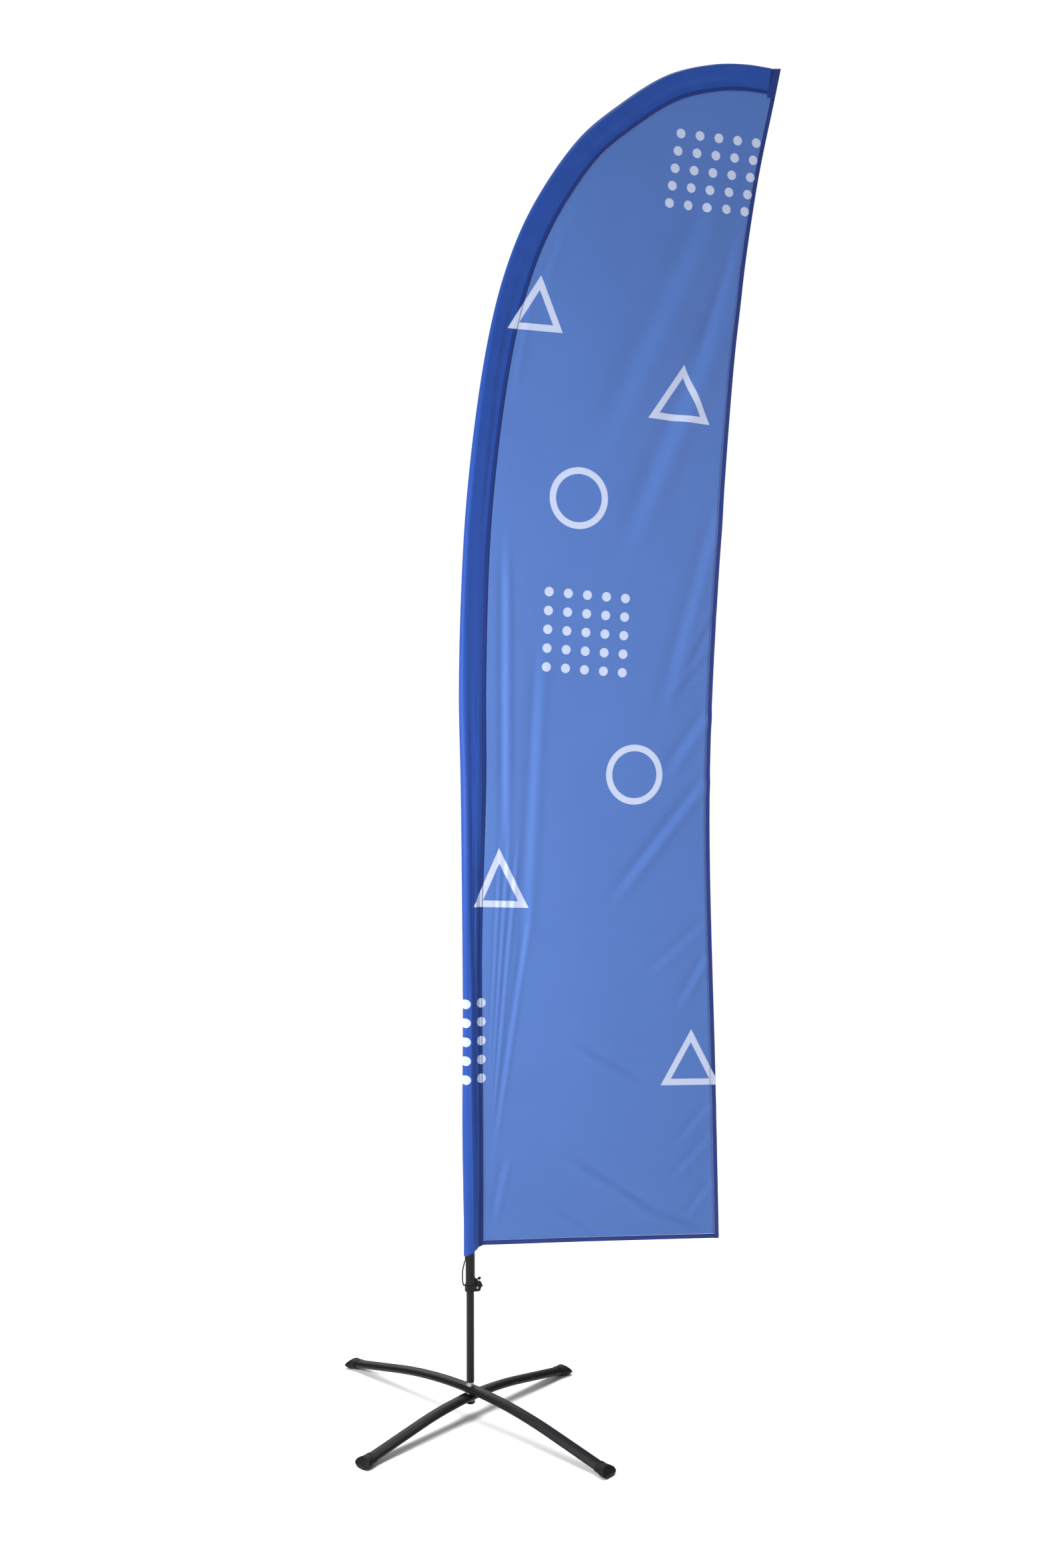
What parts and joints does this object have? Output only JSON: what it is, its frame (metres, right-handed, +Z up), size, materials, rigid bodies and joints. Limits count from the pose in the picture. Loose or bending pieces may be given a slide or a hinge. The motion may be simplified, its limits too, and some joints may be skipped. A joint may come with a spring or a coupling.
{
  "type": "feather flag with pole",
  "caption": "Tall feather flag: a cloth panel with a pole sleeve on a curved sectional pole that swivels on a folding cross base.",
  "frame": {"origin": "on the floor under the middle of the whole object's box; the pole's foot and the hub bolt stand at x = -0.2489 m, y = 0", "axes": "+Z up along the post, +X from the pole towards the flag's free edge, so the cloth lies in the plane y = 0"},
  "size_m": [1.1459, 0.8046, 3.4105],
  "materials": {
    "black_steel": "black satin paint",
    "black_plastic": "moulded, matt",
    "zinc": "zinc plated",
    "nylon": "moulded natural nylon",
    "fibreglass": "pultruded, black",
    "bright_metal": "plain turned",
    "dark_cloth": "knitted polyester, two layers",
    "light_cloth": "knitted polyester, dye printed",
    "elastic": "braided elastic"
  },
  "bodies": {
    "base": {"lower_leg_tube": "black_steel", "lower_leg_back_cap": "black_plastic", "lower_leg_front_cap": "black_plastic", "hub_lower_washer": "zinc", "hub_pivot_washer": "nylon", "hub_top_washer": "zinc", "hub_lock_nut": "zinc", "hub_bolt": "zinc", "bolt_head_cover": "black_plastic", "post": "black_steel", "post_foot_insert": "bright_metal", "post_top_plug": "black_plastic"},
    "upper_leg": {"upper_leg_tube": "black_steel", "upper_leg_front_cap": "black_plastic", "upper_leg_back_cap": "black_plastic"},
    "swivel": {"swivel_cup": "nylon"},
    "flag": {"pole_section_1": "black_steel", "pole_section_2": "fibreglass", "pole_section_3": "fibreglass", "pole_section_4": "fibreglass", "pole_ferrule_2": "bright_metal", "pole_ferrule_3": "bright_metal", "pole_stop_plug": "black_plastic", "pole_tip_cap": "black_plastic", "flag_sleeve": "dark_cloth", "side_hem": "dark_cloth", "bottom_hem": "dark_cloth", "corner_patch": "dark_cloth", "flag_panel": "light_cloth", "anchor_collar": "black_plastic", "anchor_screw": "zinc", "cord_tab": "elastic", "tension_cord": "elastic", "cord_knot": "elastic"}
  },
  "joints": [
    {"name": "leg_fold", "type": "hinge", "parent": "base", "child": "upper_leg", "pos_m": [-0.2489, 0, 0.0745], "axis": [0, 0, 1], "range_deg": [-64, 64]},
    {"name": "pole_spin", "type": "hinge", "parent": "base", "child": "swivel", "pos_m": [-0.2489, 0, 0.5], "axis": [0, 0, 1], "continuous": true},
    {"name": "pole_lift", "type": "slide", "parent": "swivel", "child": "flag", "axis": [0, 0, 1], "range_m": [0, 0.2]}
  ]
}
